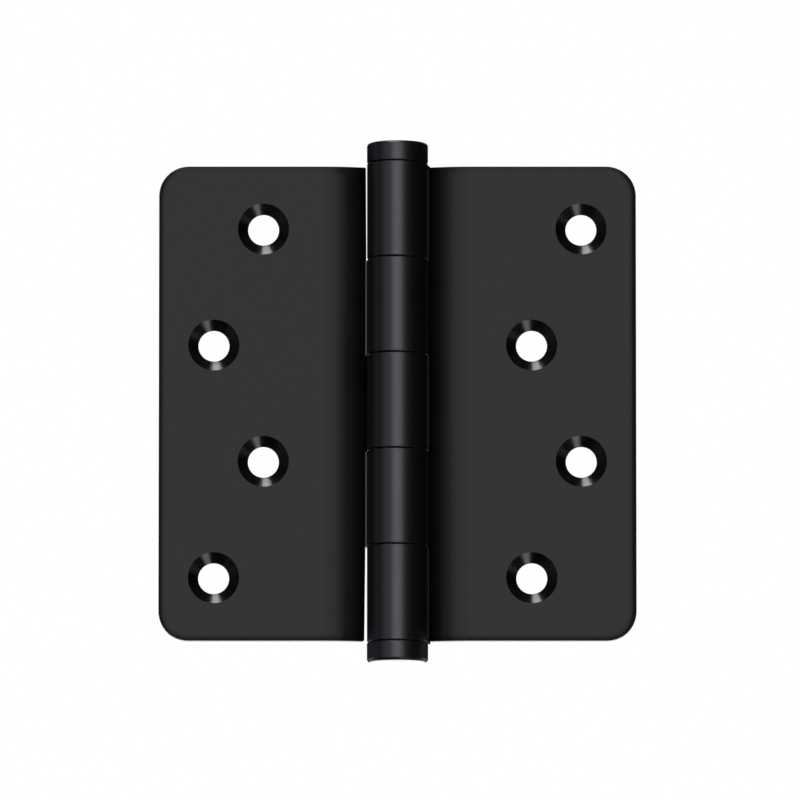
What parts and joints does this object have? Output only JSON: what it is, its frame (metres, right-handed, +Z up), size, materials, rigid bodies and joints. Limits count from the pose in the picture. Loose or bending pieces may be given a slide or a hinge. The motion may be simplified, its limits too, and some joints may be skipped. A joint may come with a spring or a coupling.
{
  "type": "door hinge",
  "caption": "Square butt hinge with round corners: two countersunk leaves whose rolled knuckles interleave on a loose pin with screw-on button tips, finished in black.",
  "frame": {"origin": "on the pin axis at mid height of the leaves, which is the centre of the bounding box", "axes": "+Z up the pin; +X from the pin to the outer edge of the jamb leaf; +Y towards the leaves' backs, so the countersunk faces look to -Y"},
  "size_m": [0.1016, 0.013, 0.1112],
  "materials": {
    "black_paint": "satin black powder coat on steel",
    "pin_steel": "bright zinc on a drawn steel pin"
  },
  "bodies": {
    "jamb_leaf": {"jamb_leaf": "black_paint"},
    "door_leaf": {"door_leaf": "black_paint"},
    "pin": {"hinge_pin": "pin_steel"},
    "top_tip": {"top_tip": "black_paint"},
    "bottom_tip": {"bottom_tip": "black_paint"}
  },
  "joints": [
    {"name": "leaf_swing", "type": "hinge", "parent": "jamb_leaf", "child": "door_leaf", "pos_m": [0, 0, 0], "axis": [0, 0, 1], "range_deg": [-95, 180]},
    {"name": "pin_draw", "type": "slide", "parent": "jamb_leaf", "child": "pin", "axis": [0, 0, 1], "range_m": [0, 0.11]},
    {"name": "top_tip_unscrew", "type": "slide", "parent": "pin", "child": "top_tip", "axis": [0, 0, 1], "range_m": [0, 0.012]},
    {"name": "bottom_tip_unscrew", "type": "slide", "parent": "jamb_leaf", "child": "bottom_tip", "axis": [0, 0, -1], "range_m": [0, 0.012]}
  ]
}
